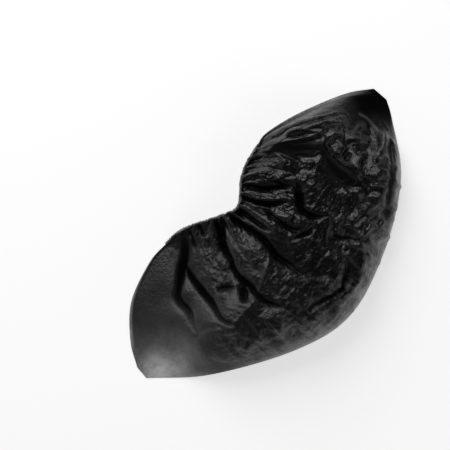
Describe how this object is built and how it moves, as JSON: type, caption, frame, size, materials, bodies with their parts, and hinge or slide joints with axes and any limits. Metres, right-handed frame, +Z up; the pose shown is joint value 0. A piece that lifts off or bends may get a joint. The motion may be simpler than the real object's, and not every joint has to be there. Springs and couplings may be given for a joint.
{
  "type": "shoe cover",
  "caption": "Disposable shoe cover of thin black plastic film, lying on its side: a folded and end-welded bag gathered into an open mouth by elastic, worn over a shoe.",
  "frame": {"origin": "on the surface that the cover lies on, under the middle of its box", "axes": "+X from the heel end to the toe end, +Y out of the mouth, +Z up from the surface"},
  "size_m": [0.3293, 0.1692, 0.0444],
  "materials": {
    "film": "thin black polyethylene film, crumpled, semi-gloss",
    "elastic": "elastic thread with black film welded round it"
  },
  "bodies": {
    "root": {"film_body": "film", "upper_elastic": "elastic", "lower_elastic": "elastic"}
  },
  "joints": []
}
